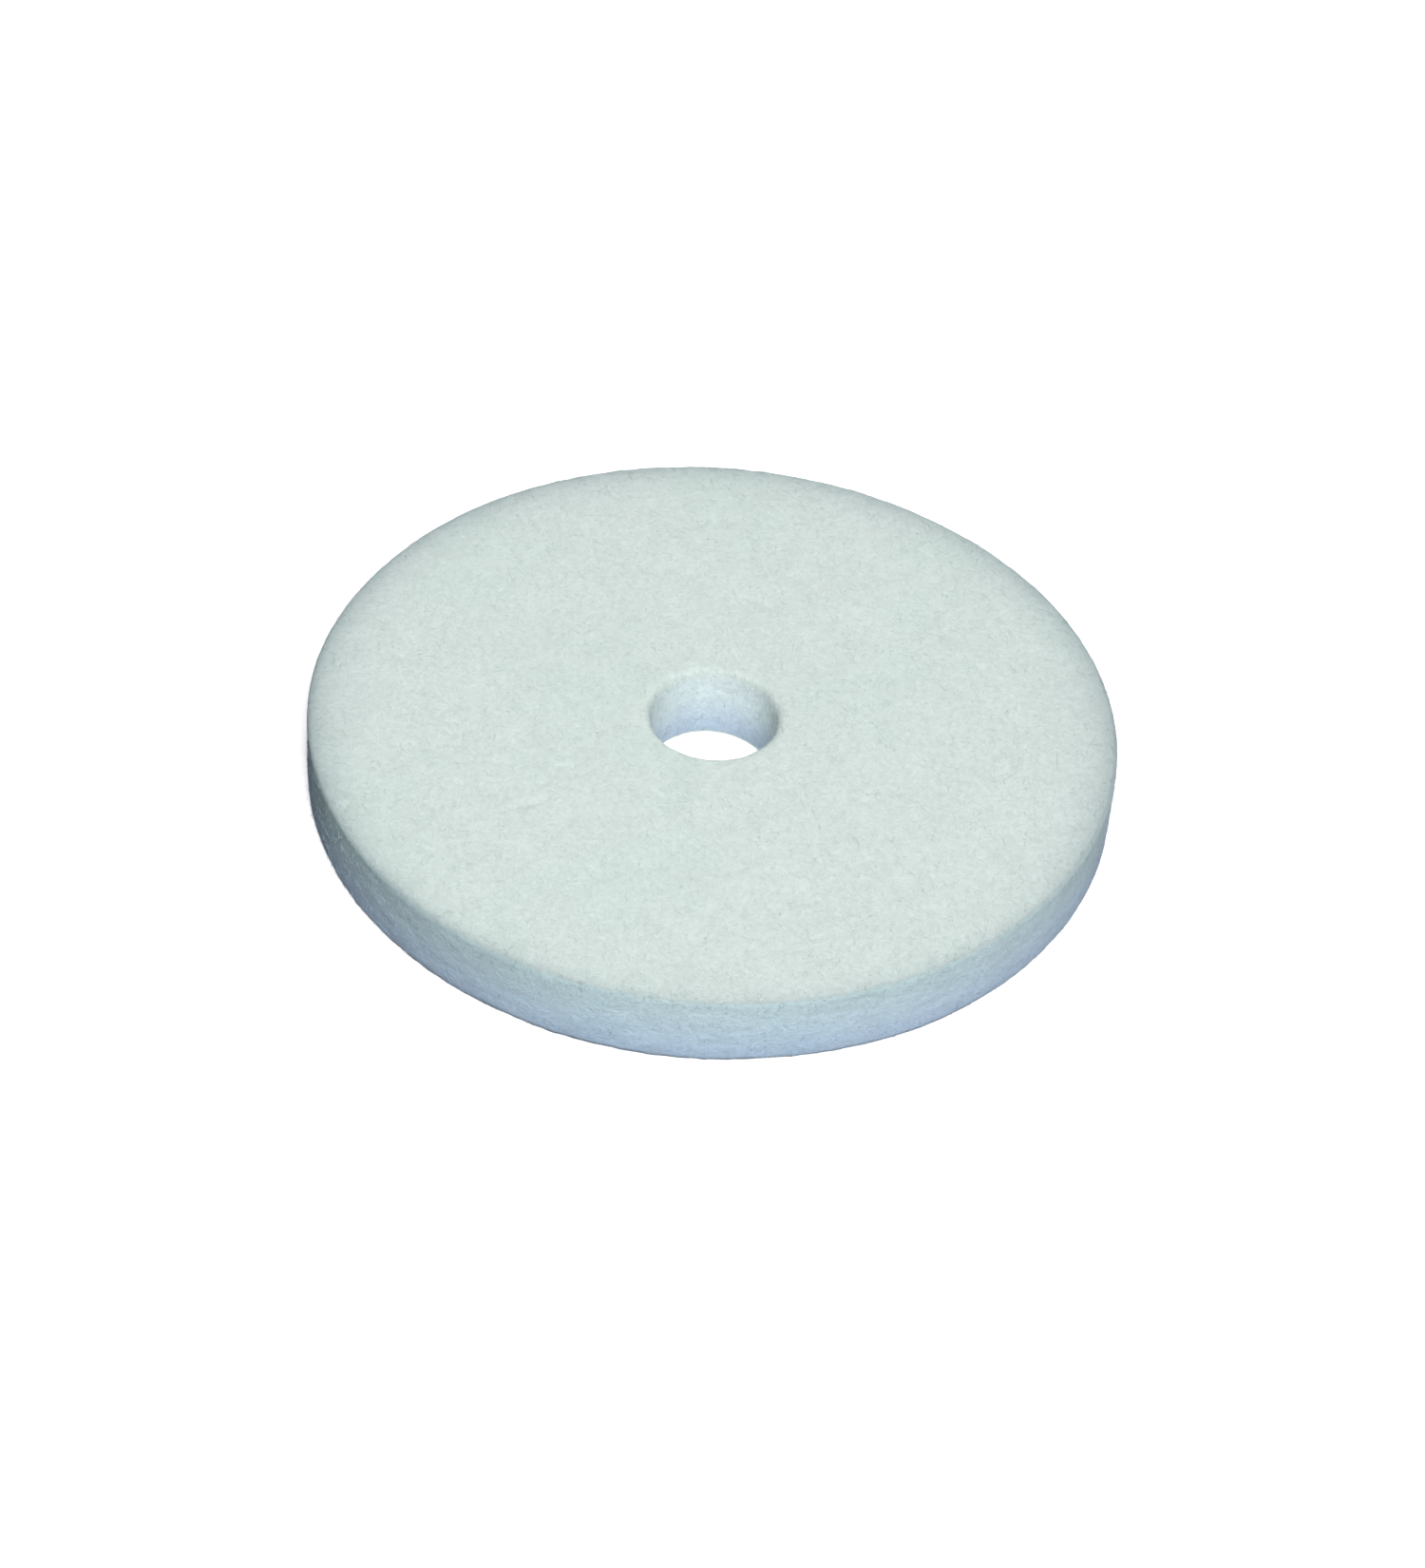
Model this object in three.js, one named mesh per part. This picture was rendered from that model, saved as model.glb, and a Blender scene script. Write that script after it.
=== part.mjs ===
// A flat felt polishing wheel: one disc of pressed wool felt with a plain punched hole for the arbor.
// Millimetres, +Z up. The wheel lies flat on its lower face, with the origin at the bore's centre on
// that face and +Z along the bore.
import * as THREE from "three";

// Driving dimensions.
const WHEEL_DIAMETER = 100;
const WHEEL_THICKNESS = 10;
const ARBOR_DIAMETER = 16;
const BORE_GRIP = 0.4; // the hole is this much narrower than the arbor, so the felt grips it
const EDGE_RADIUS = 0.8; // felt rounds over a little wherever it is cut

// How finely the curves are faceted.
const TURN_SEGMENTS = 112;
const ARC_DIVISIONS = 2; // a path gives each arc twice this many chords

const RIM_RADIUS = WHEEL_DIAMETER / 2;
const BORE_RADIUS = (ARBOR_DIAMETER - BORE_GRIP) / 2;

const QUARTER_TURN = Math.PI / 2;

// Dry white wool with a pale mint cast: fully matt, no metal.
const feltMaterial = new THREE.MeshStandardMaterial({
  color: 0xd5e1dd,
  roughness: 1,
  metalness: 0,
});

// The section on one side of the axis: x is the distance from the axis and y the height above the
// lower face. Each of its four corners is an arc, and the straights between them are the lower face,
// the rim, the upper face and the bore's wall.
function wheelSection() {
  const rimCorner = RIM_RADIUS - EDGE_RADIUS;
  const boreCorner = BORE_RADIUS + EDGE_RADIUS;
  const lowCorner = EDGE_RADIUS;
  const highCorner = WHEEL_THICKNESS - EDGE_RADIUS;
  const corners = [
    [rimCorner, lowCorner],
    [rimCorner, highCorner],
    [boreCorner, highCorner],
    [boreCorner, lowCorner],
  ];
  const section = new THREE.Path();
  corners.forEach(([x, y], corner) => {
    const start = (corner - 1) * QUARTER_TURN;
    section.absarc(x, y, EDGE_RADIUS, start, start + QUARTER_TURN);
  });
  section.closePath();
  return section.getPoints(ARC_DIVISIONS);
}

// The whole wheel, turned about the bore's axis.
function feltDisc() {
  const mesh = new THREE.Mesh(
    new THREE.LatheGeometry(wheelSection(), TURN_SEGMENTS),
    feltMaterial,
  );
  mesh.name = "felt_disc";
  mesh.rotation.x = QUARTER_TURN; // a lathe turns about Y, and the bore runs along Z
  return mesh;
}

const wheel = new THREE.Group();
wheel.name = "felt_polishing_wheel";
wheel.add(feltDisc());

export default wheel;
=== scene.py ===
"""A felt polishing wheel lying on a pale floor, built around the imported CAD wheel.

The wheel is one piece of pressed wool felt. Its skin is a dense closed mesh that follows the CAD wheel's
section, with the unevenness of real felt moved into its vertices, and thin wool fibres lie on it and
stand out of it. Lengths are in metres unless a comment says otherwise. Z points up along the bore, and
the camera looks from -Y.
"""

import math

import bpy
import numpy as np
from mathutils import Matrix, Vector, noise


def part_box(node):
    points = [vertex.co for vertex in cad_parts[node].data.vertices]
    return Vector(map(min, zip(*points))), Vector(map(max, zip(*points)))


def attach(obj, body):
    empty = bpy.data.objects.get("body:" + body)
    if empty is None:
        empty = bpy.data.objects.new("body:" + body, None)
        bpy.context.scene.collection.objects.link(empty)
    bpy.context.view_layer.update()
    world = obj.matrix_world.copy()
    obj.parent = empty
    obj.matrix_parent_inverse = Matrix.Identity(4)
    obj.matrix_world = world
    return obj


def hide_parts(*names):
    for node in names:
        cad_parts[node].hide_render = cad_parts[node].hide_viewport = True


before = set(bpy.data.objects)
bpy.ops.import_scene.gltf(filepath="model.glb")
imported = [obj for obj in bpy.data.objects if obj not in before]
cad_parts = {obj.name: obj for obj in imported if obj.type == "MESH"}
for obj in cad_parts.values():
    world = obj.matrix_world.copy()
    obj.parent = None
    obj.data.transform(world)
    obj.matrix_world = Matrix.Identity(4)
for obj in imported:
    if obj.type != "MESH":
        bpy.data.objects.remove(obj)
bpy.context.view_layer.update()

MM = 0.001

# The CAD wheel's own sizes.
CAD_NODE = "felt_disc"
LOW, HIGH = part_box(CAD_NODE)
CENTRE = (LOW + HIGH) / 2
RIM_RADIUS = (HIGH.x - LOW.x) / 2
THICKNESS = HIGH.z - LOW.z
BORE_RADIUS = min(math.hypot(v.co.x, v.co.y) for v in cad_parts[CAD_NODE].data.vertices)
# What lies nearer the axis than this is treated as part of the bore.
BORE_REGION = 2 * BORE_RADIUS

# The section's corners: a face turns into a wall over EDGE_REACH, tighter in the middle than an arc. The
# bore's upper lip, where the punch went in, is drawn down further.
EDGE_REACH = 1.0 * MM
UPPER_LIP_REACH = 1.5 * MM
EDGE_POWER = 2.3

# How finely the plain section is sampled before anything is read from it.
SECTION_STEP = 0.05 * MM
CORNER_SAMPLES = 60

# How far apart the skin's rings stand along the section, and how long its edges may be around it.
FINE_STEP = 0.22 * MM
TOP_STEP = 0.50 * MM
WALL_STEP = 0.50 * MM
UNDERSIDE_STEP = 0.85 * MM
TURN_STEP = 0.62 * MM
FEWEST_TURN_STEPS = 75

BODY = "root"


# ---------------------------------------------------------------- camera

# The camera's place is given from the wheel's centre, in wheel radii and degrees.
CAMERA_DISTANCE = 10.32 * RIM_RADIUS
CAMERA_ELEVATION = math.radians(41.61)
CAMERA_ROLL = math.radians(4.49)
CAMERA_LENS = 95.4
# How far the wheel's centre stands above and left of the middle of the picture.
RISE_IN_VIEW = math.radians(0.557)
LEFT_IN_VIEW = math.radians(0.012)


def make_camera():
    data = bpy.data.cameras.new("camera")
    data.lens = CAMERA_LENS
    data.clip_start = 0.01
    data.clip_end = 50
    camera = bpy.data.objects.new("camera", data)
    bpy.context.scene.collection.objects.link(camera)
    tilt = Matrix.Rotation(math.pi / 2 - CAMERA_ELEVATION, 4, "X")
    roll = Matrix.Rotation(CAMERA_ROLL, 4, "Z")
    aim = Matrix.Rotation(-RISE_IN_VIEW, 4, "X") @ Matrix.Rotation(-LEFT_IN_VIEW, 4, "Y")
    back = Vector((0, -math.cos(CAMERA_ELEVATION), math.sin(CAMERA_ELEVATION)))
    place = Matrix.Translation(CENTRE + back * CAMERA_DISTANCE)
    camera.matrix_world = place @ tilt @ roll @ aim
    bpy.context.scene.camera = camera


make_camera()


# ---------------------------------------------------------------- the plain section

def straight(start, end, normal):
    """Samples a straight stretch of the section: rows of radius, height and outward normal."""
    count = max(2, round(math.dist(start, end) / SECTION_STEP))
    share = np.linspace(0, 1, count, endpoint=False)[:, None]
    points = np.array(start) * (1 - share) + np.array(end) * share
    return np.hstack([points, np.tile(normal, (count, 1))])


def corner(centre, quarter, reach=EDGE_REACH):
    """Samples a rounded corner around centre. quarter 0 turns from straight down to straight outward."""
    angle = np.linspace(0, math.pi / 2, CORNER_SAMPLES, endpoint=False) + (quarter - 1) * math.pi / 2
    cosine, sine = np.cos(angle), np.sin(angle)

    def power(values, exponent):
        return np.sign(values) * np.abs(values) ** exponent

    across = np.stack([power(cosine, 2 / EDGE_POWER), power(sine, 2 / EDGE_POWER)], 1)
    normal = np.stack([power(cosine, 2 - 2 / EDGE_POWER), power(sine, 2 - 2 / EDGE_POWER)], 1)
    normal /= np.linalg.norm(normal, axis=1)[:, None]
    return np.hstack([np.array(centre) + reach * across, normal])


def wheel_section():
    """The closed section of the wheel as rows of length along it, radius, height and outward normal. It
    runs outward along the lower face, up the rim, inward along the upper face and down the bore."""
    inner, outer = BORE_RADIUS + EDGE_REACH, RIM_RADIUS - EDGE_REACH
    low, high = EDGE_REACH, THICKNESS - EDGE_REACH
    lip_inner, lip_high = BORE_RADIUS + UPPER_LIP_REACH, THICKNESS - UPPER_LIP_REACH
    rows = np.vstack([
        straight((inner, 0), (outer, 0), (0, -1)),
        corner((outer, low), 0),
        straight((RIM_RADIUS, low), (RIM_RADIUS, high), (1, 0)),
        corner((outer, high), 1),
        straight((outer, THICKNESS), (lip_inner, THICKNESS), (0, 1)),
        corner((lip_inner, lip_high), 2, UPPER_LIP_REACH),
        straight((BORE_RADIUS, lip_high), (BORE_RADIUS, low), (-1, 0)),
        corner((inner, low), 3),
    ])
    rows = np.vstack([rows, rows[:1]])
    steps = np.hypot(np.diff(rows[:, 0]), np.diff(rows[:, 1]))
    return np.hstack([np.concatenate([[0], np.cumsum(steps)])[:, None], rows])


SECTION = wheel_section()
SECTION_LENGTH = SECTION[-1, 0]


def on_section(along):
    """Radius, height and outward normal at each of these lengths along the section."""
    along = np.mod(along, SECTION_LENGTH)
    return [np.interp(along, SECTION[:, 0], SECTION[:, column]) for column in range(1, 5)]


# ---------------------------------------------------------------- the felt's unevenness

# The unevenness all over the felt, in millimetres: how far it moves the surface, and how wide it is.
SWELL_DEPTH = 0.13
SWELL_SIZE = 23
BROAD_CLUMP_DEPTH = 0.036
BROAD_CLUMP_SIZE = 2.7
FINE_CLUMP_DEPTH = 0.040
FINE_CLUMP_SIZE = 1.25
# The share of their depth that the clumps keep on the cut walls.
CLUMPS_ON_WALLS = 0.7

# The layers that show on the cut walls, and the ragged arrises, in millimetres.
LAYER_DEPTH = 0.060
LAYER_LENGTH = 6
LAYER_HEIGHT = 0.9
RAGGED_DEPTH = 0.10
RAGGED_SIZE = 1.6
# Where in the noise the layers and the ragged arrises are read, so that neither repeats the clumps.
LAYER_SHIFT = 3.0
RAGGED_SHIFT = Vector((9, 4, 7))

# How far the upper face droops at the rim and how much further at -X, and how much the bore narrows
# towards the lower face, in millimetres.
DROOP = 0.25
DROOP_MORE_LEFT = 0.18
BORE_TAPER = 0.45
# The droop fades inward over this length, and the taper upward over this share of the thickness.
DROOP_REACH = 1.6 * MM
TAPER_SHARE = 0.85

# Small dents in the upper face, in millimetres: centre x and y, direction in degrees, half length, half
# width and depth. The last is a nick in the bore's lip.
DENTS = (
    (-21.2, -19.0, 24, 2.0, 0.42, 0.46),
    (-18.2, -12.0, 10, 0.7, 0.45, 0.38),
    (-16.6, -11.8, 80, 0.5, 0.40, 0.36),
    (-19.9, -15.1, 45, 0.6, 0.40, 0.34),
    (3.4, 22.6, -20, 1.9, 0.60, 0.42),
    (6.1, 21.4, -35, 0.9, 0.50, 0.36),
    (-43.0, -21.8, 60, 0.9, 0.50, 0.40),
    (-2.5, 8.2, 105, 0.9, 0.45, 0.30),
)
# Only felt above this height is dented, in millimetres.
DENTED_ABOVE = 0.85 * THICKNESS / MM


def dented(here):
    """How deep the dents are at this place, in millimetres."""
    if here.z <= DENTED_ABOVE:
        return 0.0
    depth = 0.0
    for centre_x, centre_y, direction, half_length, half_width, deepest in DENTS:
        turn = math.radians(direction)
        away_x, away_y = here.x - centre_x, here.y - centre_y
        along = (away_x * math.cos(turn) + away_y * math.sin(turn)) / half_length
        across = (away_y * math.cos(turn) - away_x * math.sin(turn)) / half_width
        depth += deepest * math.exp(-along * along - across * across)
    return depth


def drooped(x, z, radius, flatness):
    """How far the upper face droops towards the rim at this place, in millimetres."""
    if z <= 0.5 * THICKNESS:
        return 0.0
    leftward = max(0.0, -x / RIM_RADIUS)
    fade = math.exp((radius - RIM_RADIUS) / DROOP_REACH)
    return (DROOP + DROOP_MORE_LEFT * leftward) * flatness * fade


def narrowed(z, radius):
    """How far the bore's wall stands in at this height, in millimetres."""
    if radius >= BORE_REGION:
        return 0.0
    return BORE_TAPER * max(0.0, 1 - z / (TAPER_SHARE * THICKNESS))


def relief(x, y, z, flatness):
    """How far the felt stands out of the plain section there. flatness is 1 on the two faces and 0 on
    the cut walls."""
    here = Vector((x, y, z)) / MM
    radius = math.hypot(x, y)
    wallness = 1 - flatness
    swell = SWELL_DEPTH * noise.noise(here / SWELL_SIZE)
    clumps = BROAD_CLUMP_DEPTH * noise.noise(here / BROAD_CLUMP_SIZE)
    clumps += FINE_CLUMP_DEPTH * noise.noise(here / FINE_CLUMP_SIZE)
    clumps *= CLUMPS_ON_WALLS + (1 - CLUMPS_ON_WALLS) * flatness
    around = math.atan2(x, -y) * radius / MM
    in_layers = Vector((around / LAYER_LENGTH, here.z / LAYER_HEIGHT, LAYER_SHIFT))
    layers = LAYER_DEPTH * noise.noise(in_layers)
    arris = 4 * flatness * wallness
    ragged = RAGGED_DEPTH * noise.noise(here / RAGGED_SIZE + RAGGED_SHIFT) * arris
    on_wall = (layers + narrowed(z, radius)) * wallness
    lost = dented(here) + drooped(x, z, radius, flatness)
    return (swell + clumps + ragged + on_wall - lost) * MM


def felt_points(along, turn, lift=0.0):
    """The points of the felt's real surface at these lengths along the section and angles around the
    axis, lifted off it along its normal, as rows of x, y, z."""
    radius, height, out, up = on_section(along)
    x, y = radius * np.cos(turn), radius * np.sin(turn)
    bulge = np.array([relief(*p) for p in zip(x, y, height, up * up)]) + lift
    return np.stack([
        CENTRE.x + x + bulge * out * np.cos(turn),
        CENTRE.y + y + bulge * out * np.sin(turn),
        np.maximum(LOW.z + height + bulge * up, LOW.z),
    ], 1)


# ---------------------------------------------------------------- the felt's skin

# A stretch of the section is level or upright where its normal is this close to straight up or outward.
NEARLY_STRAIGHT = 0.02


def turn_steps(radius):
    """How many edges a ring of this radius has: FEWEST_TURN_STEPS doubled as often as it takes."""
    wanted = 2 * math.pi * radius / TURN_STEP
    return FEWEST_TURN_STEPS * 2 ** max(0, math.ceil(math.log2(wanted / FEWEST_TURN_STEPS)))


def ring_lengths():
    """Where the skin's rings stand along the section: close at the corners and wider on the faces."""
    found = []
    along = 0.0
    while along < SECTION_LENGTH - 0.5 * FINE_STEP:
        found.append(along)
        _, _, out, up = on_section(along)
        if abs(out) < NEARLY_STRAIGHT:
            step = TOP_STEP if up > 0 else UNDERSIDE_STEP
        elif abs(up) < NEARLY_STRAIGHT:
            step = WALL_STEP
        else:
            step = FINE_STEP
        along += step
    return found


def join_rings(first, first_count, second, second_count):
    """The faces between two rings, given each ring's first vertex and its number of vertices, where one
    may have twice as many as the other."""
    faces = []
    if first_count == second_count:
        for i in range(first_count):
            j = (i + 1) % first_count
            faces.append((first + i, first + j, second + j, second + i))
    elif second_count == 2 * first_count:
        for i in range(first_count):
            j = (i + 1) % first_count
            middle, last = second + 2 * i + 1, second + (2 * i + 2) % second_count
            faces.append((first + i, middle, second + 2 * i))
            faces.append((first + i, first + j, middle))
            faces.append((first + j, last, middle))
    else:
        for i in range(second_count):
            j = (i + 1) % second_count
            middle, last = first + 2 * i + 1, first + (2 * i + 2) % first_count
            faces.append((first + 2 * i, middle, second + i))
            faces.append((middle, second + j, second + i))
            faces.append((middle, last, second + j))
    return faces


def smooth_mesh_object(name, vertices, faces, material):
    mesh = bpy.data.meshes.new(name)
    mesh.from_pydata(vertices, [], faces)
    mesh.polygons.foreach_set("use_smooth", [True] * len(mesh.polygons))
    mesh.materials.append(material)
    mesh.update()
    piece = bpy.data.objects.new(name, mesh)
    bpy.context.scene.collection.objects.link(piece)
    return piece


def make_felt_body(material):
    """The wheel's skin, one closed mesh of rings that runs once around the section."""
    along, turn, rings, start = [], [], [], 0
    for length in ring_lengths():
        count = turn_steps(float(on_section(length)[0]))
        along.append(np.full(count, length))
        turn.append(np.arange(count) * 2 * math.pi / count)
        rings.append((start, count))
        start += count
    vertices = felt_points(np.concatenate(along), np.concatenate(turn))
    faces = []
    for (first, first_count), (second, second_count) in zip(rings, rings[1:] + rings[:1]):
        faces += join_rings(first, first_count, second, second_count)
    return smooth_mesh_object("felt_body", vertices.tolist(), faces, material)


# ---------------------------------------------------------------- loose and matted fibres

# How a fibre runs, in radians: how far off the layers it starts on a cut wall, how far it has turned by
# its middle, how strongly it wavers, and how much of a wave that makes along it.
OFF_LAYERS = 0.5
BEND = 0.9
WAVER = (0.2, 0.8)
WAVE = 5
# Where the normal is more outward than this, a fibre follows the layers.
ON_WALL = 0.7

# How deep a fibre's held end is tucked into the felt.
TUCKED = 0.02 * MM

# A fibre has this share of its thickness all along. The rest swells and shrinks in half a wave, of which
# only this stretch is used.
THIN_SHARE = 0.35
SWELLING = (0.08, 0.92)
# A direction that fibres seldom run in, to turn their sides from.
ASKEW = (0.31, 0.23, 0.92)


def scattered_lengths(random, count, weight):
    """Random lengths along the section, even over the surface apart from weight(out, up)."""
    chosen = np.empty(0)
    while len(chosen) < count:
        along = random.uniform(0, SECTION_LENGTH, 4 * count)
        radius, _, out, up = on_section(along)
        keep = random.uniform(0, 1, len(along)) < radius / RIM_RADIUS * weight(out, up)
        chosen = np.concatenate([chosen, along[keep]])
    return chosen[:count]


def fibre_lines(random, count, points, weight, length, lift):
    """The middle lines of fibres that wander over the surface, along the layers on the cut walls and any
    way on the faces. length is the shortest and longest, and lift(share, count) how far off the surface
    each point of each fibre is."""
    along = scattered_lengths(random, count, weight)[:, None]
    turn = random.uniform(0, 2 * math.pi, (count, 1))
    any_way = random.uniform(0, 2 * math.pi, (count, 1))
    along_layers = math.pi / 2 + random.normal(0, OFF_LAYERS, (count, 1))
    heading = np.where(np.abs(on_section(along)[2]) > ON_WALL, along_layers, any_way)
    bend = random.normal(0, BEND, (count, 1))
    waver = random.uniform(*WAVER, (count, 1))
    phase = random.uniform(0, 2 * math.pi, (count, 1))
    share = np.linspace(0, 1, points)[None, :]
    reach = random.uniform(*length, (count, 1))
    heading = heading + bend * share * 2 + waver * np.sin(phase + WAVE * share)
    step = reach / (points - 1)
    along = along + np.cumsum(step * np.cos(heading), axis=1)
    radius = on_section(along.ravel())[0].reshape(along.shape)
    turn = turn + np.cumsum(step * np.sin(heading) / radius, axis=1)
    line = felt_points(along.ravel(), turn.ravel(), lift(share, count).ravel())
    return line.reshape(count, points, 3)


def tubes(lines, thickness):
    """Closed three-sided tubes along each line, thinner at their ends, as vertices and faces."""
    count, points, _ = lines.shape
    ahead = np.gradient(lines, axis=1)
    ahead /= np.maximum(np.linalg.norm(ahead, axis=2, keepdims=True), 1e-12)
    side = np.cross(ahead, ASKEW)
    side /= np.maximum(np.linalg.norm(side, axis=2, keepdims=True), 1e-12)
    over = np.cross(side, ahead)
    taper = THIN_SHARE + (1 - THIN_SHARE) * np.sin(np.pi * np.linspace(*SWELLING, points))
    radius = thickness[:, None, None] / 2 * taper[None, :, None]
    corners = [2 * math.pi * k / 3 for k in range(3)]
    rings = [lines + radius * (side * math.cos(a) + over * math.sin(a)) for a in corners]
    vertices = np.stack(rings, axis=2).reshape(-1, 3)
    faces = []
    for fibre in range(count):
        base = fibre * points * 3
        faces.append((base, base + 2, base + 1))
        for p in range(points - 1):
            ring = base + 3 * p
            for k in range(3):
                j = (k + 1) % 3
                faces.append((ring + k, ring + j, ring + 3 + j, ring + 3 + k))
        last = base + 3 * (points - 1)
        faces.append((last, last + 1, last + 2))
    return vertices.tolist(), faces


def make_fibres(name, material, random, weight, lift, count, points, length, thickness):
    """One piece of many fibres. length and thickness are the least and the most, in millimetres."""
    shortest, longest = length
    lines = fibre_lines(random, count, points, weight, (shortest * MM, longest * MM), lift)
    vertices, faces = tubes(lines, random.uniform(*thickness, count) * MM)
    return smooth_mesh_object(name, vertices, faces, material)


def make_matted_fibres(material):
    """Fibres pressed into the surface, both ends tucked in: most on the faces and few underneath."""
    random = np.random.default_rng(11)

    def weight(out, up):
        return np.where(up < -0.7, 0.15, 0.9 - 0.6 * out * out)

    def lift(share, count):
        arch = random.uniform(0.016, 0.080, (count, 1)) * MM
        return arch * np.sin(np.pi * share) - TUCKED

    return make_fibres("matted_fibres", material, random, weight, lift, count=5000, points=7,
                       length=(1.0, 3.8), thickness=(0.022, 0.045))


def make_loose_fibres(material):
    """Fibres with one end free, most of them along the cut edges and none underneath."""
    random = np.random.default_rng(23)

    def weight(out, up):
        arris = 1 - np.abs(2 * up * up - 1)
        return np.where(up < -0.8, 0.0, 0.16 + 0.84 * arris)

    def lift(share, count):
        # Most tips stand about 0.3 mm off the felt, and a few stand over 1 mm off it.
        tip = random.gamma(2.2, 0.13, (count, 1)) * MM
        return tip * share ** 1.6 - TUCKED

    return make_fibres("loose_fibres", material, random, weight, lift, count=7000, points=5,
                       length=(0.4, 1.3), thickness=(0.022, 0.042))


def make_nap(material):
    """Short fibres all over the felt but its underside, one end tucked in and the other barely off the
    surface."""
    random = np.random.default_rng(37)

    def weight(out, up):
        return np.where(up < -0.7, 0.0, 0.9 - 0.3 * out * out)

    def lift(share, count):
        tip = random.uniform(0.02, 0.14, (count, 1)) * MM
        return tip * share - TUCKED

    return make_fibres("nap", material, random, weight, lift, count=7000, points=5,
                       length=(0.3, 1.1), thickness=(0.024, 0.040))


# ---------------------------------------------------------------- the wool's colour

# The felt's colours. The walls' cooler tint is partly the cut felt's own and partly painted bluish fill
# light. The colours below are painted shade and bluish bounce light: darker and bluer low on the cut
# walls, and far darker deep in the bore.
FACE_COLOUR = (0.695, 0.788, 0.753)
CUT_COLOUR = (0.656, 0.820, 0.882)
CUT_COLOUR_BELOW_PAINTED_SHADE = (0.600, 0.758, 0.938)
BORE_COLOUR = (0.682, 0.772, 0.772)
BORE_COLOUR_BELOW_PAINTED_SHADE = (0.405, 0.495, 0.605)
# How pale the bore's wall is at -X and at +X: painted light, drawn paler at +X as if more light reached
# that side.
BORE_SIDES_PAINTED_LIGHT = (0.935, 1.07)
# The heights between which a wall goes from its painted-shade colour below to the one above.
COLOUR_RISE = (0.0, 0.8 * THICKNESS)

# How much darker the wool is drawn towards the rim's arrises: on a face, and above and below on the wall.
# This is mostly painted shade, and the strong darkening at the wall's foot stands for shade where it meets
# the floor. A little more is darkened over a wider band of each face.
RIM_PAINTED_SHADE_ON_FACE = (0.28, 0.25, 0.22)
RIM_PAINTED_SHADE_ABOVE = (0.09, 0.08, 0.15)
RIM_PAINTED_SHADE_BELOW = (0.30, 0.30, 0.28)
RIM_PAINTED_SHADE_WIDELY = 0.030
# The heights between which a wall goes from its painted shade below to its painted shade above.
RIM_PAINTED_SHADE_RISE = (0.2 * THICKNESS, 0.8 * THICKNESS)
# How far from the arrises that fades. On a face it reaches least at -Y, the front, and most, with more
# painted shade, from the sides to the back, away from the key lamp. That change lies between these values
# of y over the distance from the axis.
WALL_REACH = 1.5 * MM
FACE_REACH_IN_FRONT = 0.9 * MM
FACE_REACH_BEHIND = 2.3 * MM
MORE_PAINTED_SHADE_BEHIND = 1.45
FRONT_TO_SIDES = (-0.85, -0.10)
WIDE_REACH = 8 * MM

# Painted shade on the arrises themselves, which keeps the rounded edges from catching the key lamp
# brighter than the faces. The felt counts as arris between the first pair of slants and the second, where
# 0 is a wall and 1 is a face.
ARRIS_PAINTED_SHADE_IN_BORE = 0.91
ARRIS_PAINTED_SHADE_AT_RIM = 0.82
ARRIS_FROM = (0.05, 0.45)
ARRIS_TO = (0.60, 0.99)


class Nodes:
    """Short ways to add and link shader nodes to one material's tree."""

    def __init__(self, tree):
        self.tree = tree

    def add(self, kind, values=(), **properties):
        node = self.tree.nodes.new("ShaderNode" + kind)
        for name, value in properties.items():
            setattr(node, name, value)
        for name, value in dict(values).items():
            if isinstance(value, bpy.types.NodeSocket):
                self.tree.links.new(value, node.inputs[name])
            else:
                node.inputs[name].default_value = value
        return node

    def maths(self, operation, first, second=0.0, third=0.0):
        values = {0: first, 1: second, 2: third}
        return self.add("Math", values, operation=operation).outputs[0]

    def vector(self, operation, first, second):
        return self.add("VectorMath", {0: first, 1: second}, operation=operation).outputs[0]

    def parts(self, vector):
        """A vector's x, y and z."""
        return self.add("SeparateXYZ", {0: vector}).outputs

    def flat(self, x, y):
        """A vector with no z."""
        return self.add("CombineXYZ", {0: x, 1: y}).outputs[0]

    def grey(self, value):
        return self.add("CombineXYZ", {0: value, 1: value, 2: value}).outputs[0]

    def noise(self, where, size, detail=2.0, roughness=0.5):
        """Noise whose lumps are about size across."""
        values = {"Vector": where, "Scale": 1 / size, "Detail": detail, "Roughness": roughness}
        return self.add("TexNoise", values)

    def blend(self, share, first, second):
        """A number that goes from first to second as share goes from 0 to 1."""
        return self.add("Mix", {0: share, 2: first, 3: second}).outputs[0]

    def mix(self, share, first, second):
        """A colour that goes from first to second as share goes from 0 to 1."""
        values = {0: share, 6: first, 7: second}
        return self.add("Mix", values, data_type="RGBA").outputs[2]

    def ramp(self, value, low, high, low_to=0.0, high_to=1.0, kind="SMOOTHSTEP"):
        values = {"Value": value, 1: low, 2: high, 3: low_to, 4: high_to}
        return self.add("MapRange", values, interpolation_type=kind).outputs[0]

    def fade(self, distance, reach):
        """Falls from 1 towards 0, to about a third at reach."""
        return self.maths("EXPONENT", self.maths("MULTIPLY", self.maths("DIVIDE", distance, reach), -1.0))


def place_on_wheel(nodes):
    """A point's place on the wheel, its distance from the axis and its height."""
    where = nodes.add("TexCoord").outputs["Object"]
    x, y, height = nodes.parts(where)
    squares = nodes.maths("ADD", nodes.maths("POWER", x, 2.0), nodes.maths("POWER", y, 2.0))
    return where, nodes.maths("POWER", squares, 0.5), height


def in_the_bore(nodes, radius):
    return nodes.maths("LESS_THAN", radius, BORE_REGION)


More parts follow.
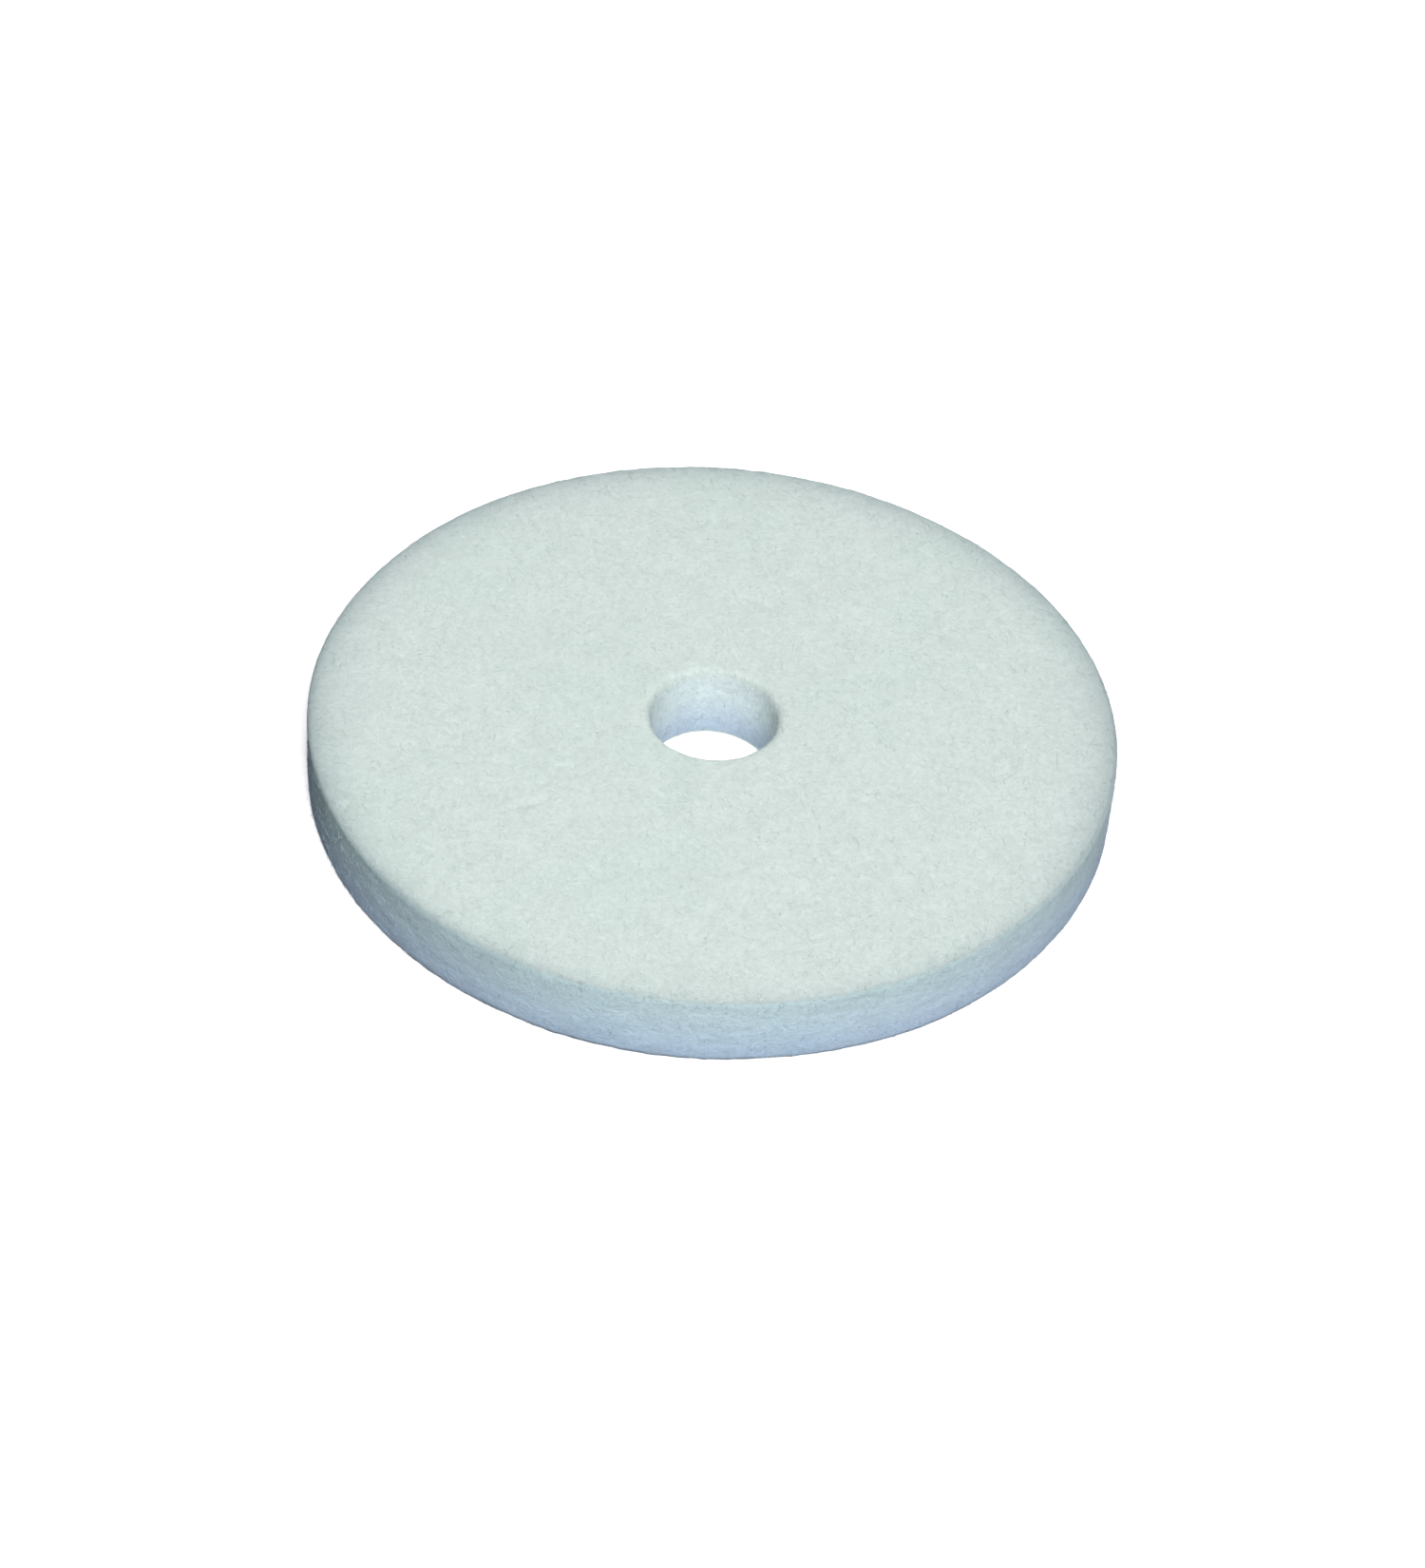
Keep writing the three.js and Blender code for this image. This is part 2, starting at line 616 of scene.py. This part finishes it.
def felt_colour(nodes, where, radius, height, on_face):
    """The wool's colour: minty on the faces, cooler on the cut walls, partly painted bluish fill light,
    and duller in the bore. Low on the walls it is painted darker and bluer as shade and bluish bounce
    light, most deep in the bore, and the bore's side at +X is painted a little paler than the side at -X,
    as light."""
    in_bore = in_the_bore(nodes, radius)
    # Painted light: the bore's +X side is drawn paler than its -X side.
    side = nodes.maths("DIVIDE", nodes.parts(where)[0], radius)
    side = nodes.ramp(nodes.maths("MULTIPLY", side, in_bore), -1.0, 1.0, *BORE_SIDES_PAINTED_LIGHT, kind="LINEAR")
    rise = nodes.ramp(height, *COLOUR_RISE)
    # Painted shade and bluish bounce light: the walls darken and turn bluer towards their foot.
    upper = nodes.mix(in_bore, (*CUT_COLOUR, 1), (*BORE_COLOUR, 1))
    lower = nodes.mix(in_bore, (*CUT_COLOUR_BELOW_PAINTED_SHADE, 1), (*BORE_COLOUR_BELOW_PAINTED_SHADE, 1))
    wall = nodes.vector("MULTIPLY", nodes.mix(rise, lower, upper), nodes.grey(side))
    return nodes.mix(on_face, wall, (*FACE_COLOUR, 1))


def rim_painted_shade(nodes, where, radius, height, on_face):
    """A factor for the wool's colour that paints shade: 1 on the open faces and walls, less towards the
    rim's arrises, more on the faces towards the back and most at the wall's foot.
    """
    inward = nodes.maths("SUBTRACT", RIM_RADIUS, radius)
    from_face = nodes.maths("MINIMUM", height, nodes.maths("SUBTRACT", THICKNESS, height))
    away = nodes.maths("MAXIMUM", nodes.maths("MAXIMUM", inward, from_face), 0.0)
    behind = nodes.ramp(nodes.maths("DIVIDE", nodes.parts(where)[1], radius), *FRONT_TO_SIDES)
    face_reach = nodes.blend(behind, FACE_REACH_IN_FRONT, FACE_REACH_BEHIND)
    near = nodes.fade(away, nodes.blend(on_face, WALL_REACH, face_reach))
    rise = nodes.ramp(height, *RIM_PAINTED_SHADE_RISE)
    on_wall = nodes.mix(rise, (*RIM_PAINTED_SHADE_BELOW, 1), (*RIM_PAINTED_SHADE_ABOVE, 1))
    more = nodes.grey(nodes.blend(behind, 1.0, MORE_PAINTED_SHADE_BEHIND))
    lost = nodes.mix(on_face, on_wall, nodes.vector("MULTIPLY", RIM_PAINTED_SHADE_ON_FACE, more))
    lost = nodes.vector("MULTIPLY", lost, nodes.grey(near))
    widely = nodes.maths("MULTIPLY", nodes.fade(away, WIDE_REACH), RIM_PAINTED_SHADE_WIDELY)
    lost = nodes.vector("ADD", lost, nodes.grey(nodes.maths("MULTIPLY", widely, on_face)))
    return nodes.vector("SUBTRACT", (1, 1, 1), lost)


def arris_painted_shade(nodes, radius, facing):
    """A factor for the wool's colour that paints shade: 1 on the faces and walls, and less over all four
    arrises.
    """
    rising, falling = nodes.ramp(facing, *ARRIS_FROM), nodes.ramp(facing, *ARRIS_TO, 1.0, 0.0)
    arris = nodes.maths("MULTIPLY", rising, falling)
    shade = nodes.ramp(radius, BORE_REGION, BORE_REGION + MM, ARRIS_PAINTED_SHADE_IN_BORE, ARRIS_PAINTED_SHADE_AT_RIM)
    return nodes.grey(nodes.blend(arris, 1.0, shade))


# ---------------------------------------------------------------- the felt's material

# The sizes of the patterns in the felt.
GRAIN_SIZE = 0.60 * MM
CLUMP_SIZE = 1.4 * MM
TUFT_SIZE = 5.5 * MM
BLOTCH_SIZE = 16 * MM
KNOT_SPACING = 1.1 * MM
LAYERING_LENGTH = 2.6 * MM
LAYERING_HEIGHT = 0.30 * MM
# A knot's edge, as shares of that spacing, and the chances between which a cell has a faint or full one.
KNOT_EDGE = (0.10, 0.34)
KNOT_CHANCE = (0.45, 1.0)
# How widely and how far the strands and layers are pushed about, so that they curve.
WANDER_SIZE = 2.2 * MM
WANDER = 2.4 * MM

# Six layers of strands drawn in the skin, in millimetres: the cells that they change direction in, the
# strands' length and width, and how far the layer is moved, so that no two layers are alike.
STRAND_LAYERS = (
    (2.3, 3.4, 0.50, 0.0),
    (3.0, 4.4, 0.65, 170.0),
    (1.8, 2.8, 0.42, 410.0),
    (3.6, 5.0, 0.80, 690.0),
    (2.6, 3.8, 0.55, 930.0),
    (1.5, 2.2, 0.36, 1270.0),
)
# A strand is where the noise is this near its middle value, and it fades between these shares of a cell.
STRAND_EDGE = 0.034
STRAND_FADE = (0.25, 0.62)

# What each pattern does: its share of the bump, the values that count as its low and its high, and the
# shades of the wool there.
PATTERNS = {
    "strands": (0.35, (0.0, 1.0), (0.99, 1.03)),
    "knots": (0.40, (0.0, 1.0), (0.998, 1.024)),
    "grain": (0.95, (0.30, 0.70), (0.953, 1.035)),
    "clumps": (0.20, (0.30, 0.70), (0.987, 1.011)),
    "layering": (0.60, (0.30, 0.70), (0.965, 1.030)),
    "tufts": (0.0, (0.30, 0.70), (0.988, 1.008)),
}
BUMP_DEPTH = 0.08 * MM
BUMP_STRENGTH = 0.66
# The felt's roughness in the grain's low places and on its high ones.
ROUGHNESS = (1.0, 0.88)
# Broad faint blotches go from the first tint to the second between these values of their noise.
BLOTCH_RANGE = (0.35, 0.65)
BLOTCH_TINTS = ((0.986, 1.0, 0.994, 1), (1.008, 1.001, 1.006, 1))

# How squarely the skin faces up or down where it starts and stops being wall. The bore's lips count as
# face sooner, by FACE_SOONER_IN_BORE.
WALL_TO_FACE = (0.45, 0.85)
FACE_SOONER_IN_BORE = 0.37
# Strands and layers are laid out as on a face where the skin faces up or down more than this.
LAID_OUT_FLAT = 0.7


def facing_up_or_down(nodes):
    """How squarely a point of the skin faces up or down, from 0 to 1."""
    normal = nodes.add("TexCoord").outputs["Normal"]
    return nodes.maths("ABSOLUTE", nodes.parts(normal)[2])


def unrolled(nodes, where, radius, facing):
    """Flat coordinates for strands and layers: x and y on the faces, and the way around and up on the
    walls, pushed about a little."""
    x, y, height = nodes.parts(where)
    turn = nodes.maths("ARCTAN2", x, nodes.maths("MULTIPLY", y, -1.0))
    wall = nodes.flat(nodes.maths("MULTIPLY", turn, radius), height)
    face = nodes.flat(x, y)
    on_face = nodes.maths("GREATER_THAN", facing, LAID_OUT_FLAT)
    flat = nodes.add("Mix", {0: on_face, 4: wall, 5: face}, data_type="VECTOR").outputs[1]
    wander = nodes.noise(flat, WANDER_SIZE, detail=1.0).outputs["Color"]
    wander = nodes.vector("SUBTRACT", wander, (0.5, 0.5, 0.5))
    return nodes.vector("ADD", flat, nodes.vector("MULTIPLY", wander, (WANDER, WANDER, WANDER)))


def strand_layer(nodes, flat, cell, length, width, shift):
    """A mask of thin strands that run in a random direction inside each cell and fade out at its edge."""
    moved = nodes.vector("ADD", flat, (shift, shift * 0.7, 0))
    cells = nodes.add("TexVoronoi", {"Vector": moved, "Scale": 1 / cell}, voronoi_dimensions="2D")
    chance = nodes.add("SeparateColor", {0: cells.outputs["Color"]}).outputs
    angle = nodes.maths("MULTIPLY", chance[0], 2 * math.pi)
    inside = nodes.vector("SUBTRACT", moved, cells.outputs["Position"])
    turned = nodes.add("VectorRotate", {"Vector": inside, "Angle": angle}).outputs[0]
    drawn = nodes.vector("MULTIPLY", turned, (1 / length, 1 / width, 0))
    # Each cell takes its strands from its own place in the noise.
    own = nodes.vector("MULTIPLY", nodes.flat(chance[1], chance[2]), (50, 50, 0))
    strands = nodes.noise(nodes.vector("ADD", drawn, own), 1.0, detail=1.0).outputs[0]
    ridge = nodes.maths("ABSOLUTE", nodes.maths("SUBTRACT", strands, 0.5))
    ridge = nodes.ramp(ridge, 0.0, STRAND_EDGE, 1.0, 0.0)
    return nodes.maths("MULTIPLY", ridge, nodes.ramp(cells.outputs["Distance"], *STRAND_FADE, 1.0, 0.0))


def strand_pattern(nodes, flat):
    """All the layers of strands together."""
    strands = 0.0
    for layer in STRAND_LAYERS:
        drawn = strand_layer(nodes, flat, *(part * MM for part in layer))
        strands = nodes.maths("MAXIMUM", strands, drawn)
    return strands


def knot_pattern(nodes, where):
    """Small round knots of wool in some of the cells, some fainter than others."""
    cells = nodes.add("TexVoronoi", {"Vector": where, "Scale": 1 / KNOT_SPACING})
    chance = nodes.add("SeparateColor", {0: cells.outputs["Color"]}).outputs[0]
    knots = nodes.ramp(cells.outputs["Distance"], *KNOT_EDGE, 1.0, 0.0)
    return nodes.maths("MULTIPLY", knots, nodes.ramp(chance, *KNOT_CHANCE))


def layering_pattern(nodes, flat, on_face):
    """The felt's layers, which show on the cut walls only: it is 0.5 all over the faces."""
    stretched = nodes.vector("MULTIPLY", flat, (1 / LAYERING_LENGTH, 1 / LAYERING_HEIGHT, 0))
    layering = nodes.noise(stretched, 1.0, detail=2.0).outputs[0]
    return nodes.blend(on_face, layering, 0.5)


def felt_patterns(nodes, where, radius, facing, on_face):
    """The pattern of each name in PATTERNS."""
    flat = unrolled(nodes, where, radius, facing)
    return {
        "strands": strand_pattern(nodes, flat),
        "knots": knot_pattern(nodes, where),
        "grain": nodes.noise(where, GRAIN_SIZE, detail=3.0, roughness=0.56).outputs[0],
        "clumps": nodes.noise(where, CLUMP_SIZE, detail=2.0).outputs[0],
        "layering": layering_pattern(nodes, flat, on_face),
        "tufts": nodes.noise(where, TUFT_SIZE, detail=0.0).outputs[0],
    }


def bump_and_shade(nodes, patterns):
    """The height of the bump and the shade of the wool that all the patterns make together."""
    height, shade = 0.0, 1.0
    for name, (bump, lows_and_highs, shades) in PATTERNS.items():
        height = nodes.maths("MULTIPLY_ADD", patterns[name], bump, height)
        shade = nodes.maths("MULTIPLY", shade, nodes.ramp(patterns[name], *lows_and_highs, *shades))
    return height, shade


def felt_material():
    material = bpy.data.materials.new("pressed_wool_felt")
    material.use_nodes = True
    nodes = Nodes(material.node_tree)
    where, radius, height = place_on_wheel(nodes)
    facing = facing_up_or_down(nodes)
    in_bore = in_the_bore(nodes, radius)
    on_face = nodes.maths("MULTIPLY_ADD", in_bore, FACE_SOONER_IN_BORE, facing)
    on_face = nodes.ramp(on_face, *WALL_TO_FACE)
    patterns = felt_patterns(nodes, where, radius, facing, on_face)
    bump_height, shade = bump_and_shade(nodes, patterns)
    bump = nodes.add("Bump", {"Height": bump_height, "Distance": BUMP_DEPTH, "Strength": BUMP_STRENGTH})

    blotch = nodes.noise(where, BLOTCH_SIZE, detail=2.0).outputs[0]
    colour = felt_colour(nodes, where, radius, height, on_face)
    for tint in (
        nodes.mix(nodes.ramp(blotch, *BLOTCH_RANGE), *BLOTCH_TINTS),
        nodes.grey(shade),
        # These two factors paint shade towards the rim's arrises and over all four arrises.
        rim_painted_shade(nodes, where, radius, height, on_face),
        arris_painted_shade(nodes, radius, facing),
    ):
        colour = nodes.vector("MULTIPLY", colour, tint)
    _, lows_and_highs, _ = PATTERNS["grain"]
    roughness = nodes.ramp(patterns["grain"], *lows_and_highs, *ROUGHNESS, kind="LINEAR")

    shader = material.node_tree.nodes["Principled BSDF"]
    links = material.node_tree.links
    links.new(colour, shader.inputs["Base Color"])
    links.new(roughness, shader.inputs["Roughness"])
    links.new(bump.outputs[0], shader.inputs["Normal"])
    shader.inputs["Subsurface Weight"].default_value = 0.25
    shader.inputs["Subsurface Radius"].default_value = (1.0, 1.0, 1.0)
    shader.inputs["Subsurface Scale"].default_value = 0.7 * MM
    shader.inputs["Specular IOR Level"].default_value = 0.08
    shader.inputs["Sheen Weight"].default_value = 0.04
    shader.inputs["Sheen Roughness"].default_value = 0.6
    shader.inputs["Sheen Tint"].default_value = (0.93, 1.0, 0.98, 1)
    return material


# ---------------------------------------------------------------- the fibres' material

# Fibres lie on a face where they are nearer its level than the second of these, and on a wall beyond the
# first. The ones on the walls are painted darker, painted shade so that fibres standing out of a shaded
# wall don't look lit, and each fibre has a shade of its own.
FIBRE_WALL_TO_FACE = (0.8 * MM, 0.1 * MM)
FIBRE_PAINTED_SHADE_ON_WALL = 0.84
FIBRE_SHADES = (0.945, 1.065)


def fibre_material():
    material = bpy.data.materials.new("wool_fibre")
    material.use_nodes = True
    nodes = Nodes(material.node_tree)
    where, radius, height = place_on_wheel(nodes)
    middle = THICKNESS / 2
    from_middle = nodes.maths("ABSOLUTE", nodes.maths("SUBTRACT", height, middle))
    on_face = nodes.ramp(from_middle, *(middle - depth for depth in FIBRE_WALL_TO_FACE))
    chance = nodes.add("NewGeometry").outputs["Random Per Island"]
    shade = nodes.ramp(chance, 0.0, 1.0, *FIBRE_SHADES, kind="LINEAR")
    # Painted shade on the fibres that lie on the walls.
    shade = nodes.maths("MULTIPLY", shade, nodes.ramp(on_face, 0.0, 1.0, FIBRE_PAINTED_SHADE_ON_WALL, 1.0))
    colour = felt_colour(nodes, where, radius, height, on_face)
    colour = nodes.vector("MULTIPLY", colour, nodes.grey(shade))
    # Painted shade towards the rim's arrises, as on the felt.
    colour = nodes.vector("MULTIPLY", colour, rim_painted_shade(nodes, where, radius, height, on_face))

    shader = material.node_tree.nodes["Principled BSDF"]
    material.node_tree.links.new(colour, shader.inputs["Base Color"])
    shader.inputs["Roughness"].default_value = 0.8
    shader.inputs["Specular IOR Level"].default_value = 0.1
    shader.inputs["Sheen Weight"].default_value = 0.05
    return material


# ---------------------------------------------------------------- the wheel's pieces

felt = felt_material()
fibre = fibre_material()

felt_body = make_felt_body(felt)
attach(felt_body, BODY)
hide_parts(CAD_NODE)

for piece in (make_matted_fibres(fibre), make_loose_fibres(fibre), make_nap(fibre)):
    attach(piece, BODY)


# ---------------------------------------------------------------- floor

FLOOR_HALF_SIZE = 40 * RIM_RADIUS
FLOOR_WHITE = 0.985
# The floor glows a little, so that it is white in the picture but for the wheel's shadow.
FLOOR_GLOW = 0.45


def make_floor():
    half = FLOOR_HALF_SIZE
    corners = [(x, y, LOW.z) for x, y in ((-half, -half), (half, -half), (half, half), (-half, half))]
    material = bpy.data.materials.new("floor_paper")
    material.use_nodes = True
    shader = material.node_tree.nodes["Principled BSDF"]
    shader.inputs["Base Color"].default_value = (FLOOR_WHITE, FLOOR_WHITE, FLOOR_WHITE, 1)
    shader.inputs["Roughness"].default_value = 1.0
    shader.inputs["Specular IOR Level"].default_value = 0.0
    shader.inputs["Emission Color"].default_value = (1, 1, 1, 1)
    shader.inputs["Emission Strength"].default_value = FLOOR_GLOW
    floor = smooth_mesh_object("floor", corners, [(0, 1, 2, 3)], material)
    floor.visible_diffuse = False
    floor.visible_shadow = False


# ---------------------------------------------------------------- lamps

# The light that each distant lamp gives to a surface facing it, as a share of full white.
KEY_LIGHT = (0.880, 0.880, 0.895)
BACK_LIGHT = (0.48, 0.48, 0.48)

# How far from the wheel's centre and how large the card is, and its power in watts.
CARD_DISTANCE = 0.42
CARD_SIZE = (0.20, 0.10)
CARD_POWER = 0.29

# How bright the paper under the bore is, and how far below the wheel its lamp lies.
PAPER_GLOW = 0.8
PAPER_DEPTH = 0.5 * MM


def towards(turn, elevation):
    """The direction of a lamp at this many degrees to the right of the camera's side, and above level."""
    turn, elevation = math.radians(turn), math.radians(elevation)
    return Vector((
        math.cos(elevation) * math.sin(turn),
        -math.cos(elevation) * math.cos(turn),
        math.sin(elevation),
    ))


def add_lamp(data, place, direction):
    """Puts a lamp there, shining away from direction."""
    lamp = bpy.data.objects.new(data.name, data)
    bpy.context.scene.collection.objects.link(lamp)
    lamp.location = place
    lamp.rotation_euler = direction.to_track_quat("Z", "Y").to_euler()
    return lamp


def make_distant_lamp(name, light, turn, elevation, width):
    """A far softbox, width degrees across, that gives this light to a surface facing it."""
    strongest = max(light)
    data = bpy.data.lights.new(name, "SUN")
    data.energy = strongest * math.pi
    data.color = [c / strongest for c in light]
    data.angle = math.radians(width)
    add_lamp(data, CENTRE, towards(turn, elevation))


def make_card():
    """A near card, so that the front of the wheel is a little brighter than its back."""
    data = bpy.data.lights.new("card", "AREA")
    data.shape = "RECTANGLE"
    data.size, data.size_y = CARD_SIZE
    data.energy = CARD_POWER
    direction = towards(turn=8, elevation=34)
    add_lamp(data, CENTRE + CARD_DISTANCE * direction, direction)


def make_paper_glow():
    """White paper under the bore throws light up into it. The floor lets this lamp's light through."""
    data = bpy.data.lights.new("paper", "AREA")
    data.shape = "DISK"
    data.size = 2 * BORE_RADIUS
    data.energy = PAPER_GLOW * math.pi * math.pi * BORE_RADIUS ** 2
    lamp = add_lamp(data, (CENTRE.x, CENTRE.y, LOW.z - PAPER_DEPTH), Vector((0, 0, -1)))
    lamp.visible_camera = False


# ---------------------------------------------------------------- surroundings

# The light from straight above and from the horizon, and from below the horizon in front and behind.
SKY_LIGHT = (0.160, 0.160, 0.153)
HORIZON_LIGHT = (0.028, 0.028, 0.026)
BOUNCE_LIGHT = (0.01, 0.04, 0.06)
BOUNCE_LIGHT_BEHIND = (0.62, 0.62, 0.62)
# Where these change, as parts of a direction: along Y, up, and along X, where it gets darker to the sides.
BEHIND = (0.25, 0.85)
HORIZON = (-0.05, 0.05)
SIDES = (0.55, 1.0)
LIGHT_LEFT_AT_SIDES = 0.25


def make_world():
    """Soft light from above, a dim bluish one from below in front and a white one from below behind, in a
    surround that looks white."""
    world = bpy.data.worlds.new("studio")
    world.use_nodes = True
    bpy.context.scene.world = world
    nodes = Nodes(world.node_tree)
    x, y, z = nodes.parts(nodes.add("TexCoord").outputs["Generated"])
    below = nodes.mix(nodes.ramp(y, *BEHIND), (*BOUNCE_LIGHT, 1), (*BOUNCE_LIGHT_BEHIND, 1))
    above = nodes.mix(z, (*HORIZON_LIGHT, 1), (*SKY_LIGHT, 1))
    light = nodes.mix(nodes.ramp(z, *HORIZON), below, above)
    sideways = nodes.ramp(nodes.maths("ABSOLUTE", x), *SIDES, 1.0, LIGHT_LEFT_AT_SIDES)
    light = nodes.vector("MULTIPLY", light, nodes.grey(sideways))
    seen = nodes.add("LightPath").outputs["Is Camera Ray"]
    background = world.node_tree.nodes["Background"]
    world.node_tree.links.new(nodes.mix(seen, light, (1, 1, 1, 1)), background.inputs["Color"])


make_floor()
make_distant_lamp("key", KEY_LIGHT, turn=15, elevation=49.5, width=22)
make_distant_lamp("back", BACK_LIGHT, turn=180, elevation=15, width=30)
make_card()
make_paper_glow()
make_world()
bpy.context.scene.view_settings.view_transform = "Standard"
